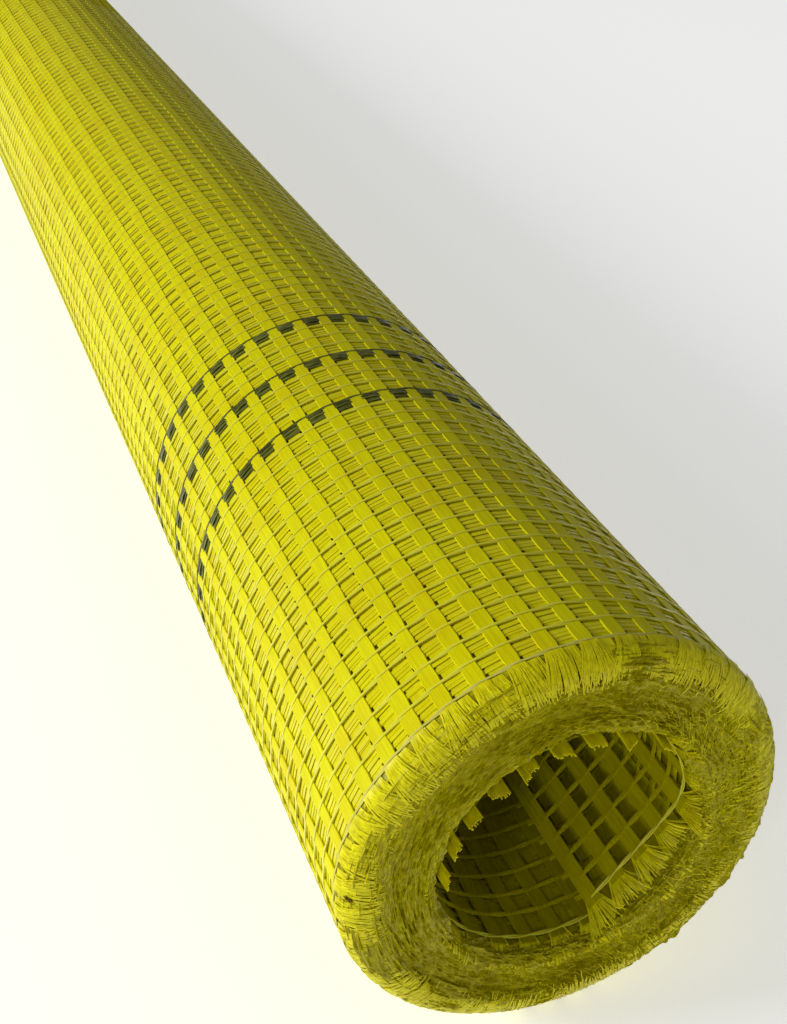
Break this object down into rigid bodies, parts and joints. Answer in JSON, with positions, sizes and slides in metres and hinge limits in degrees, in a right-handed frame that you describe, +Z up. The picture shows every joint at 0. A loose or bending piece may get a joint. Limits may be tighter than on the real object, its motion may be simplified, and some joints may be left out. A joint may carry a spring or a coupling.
{
  "type": "roll of fiberglass mesh",
  "caption": "Coreless roll of yellow coated glass-fibre reinforcing mesh, wound on itself, with an open bore and frayed cut ends.",
  "frame": {"origin": "on the ground plane below the middle of the roll, halfway between its ends", "axes": "+X along the roll's axis towards the end with the loose inner turn, +Z up, the roll lying on z = 0"},
  "size_m": [1, 0.066, 0.066],
  "materials": {
    "coated_glass_mesh": "open leno weave of glass-fibre yarns in a glossy yellow alkali-resistant coating",
    "cut_fibre_ends": "matt cut glass filaments, yellow from the coating, splayed at the ends of the strips",
    "tracer_thread": "dark green-black coated yarn with pale glints",
    "edge_thread": "pale two-ply edge thread, thinly coated"
  },
  "bodies": {
    "root": {"mesh_roll": "coated_glass_mesh"}
  },
  "joints": []
}
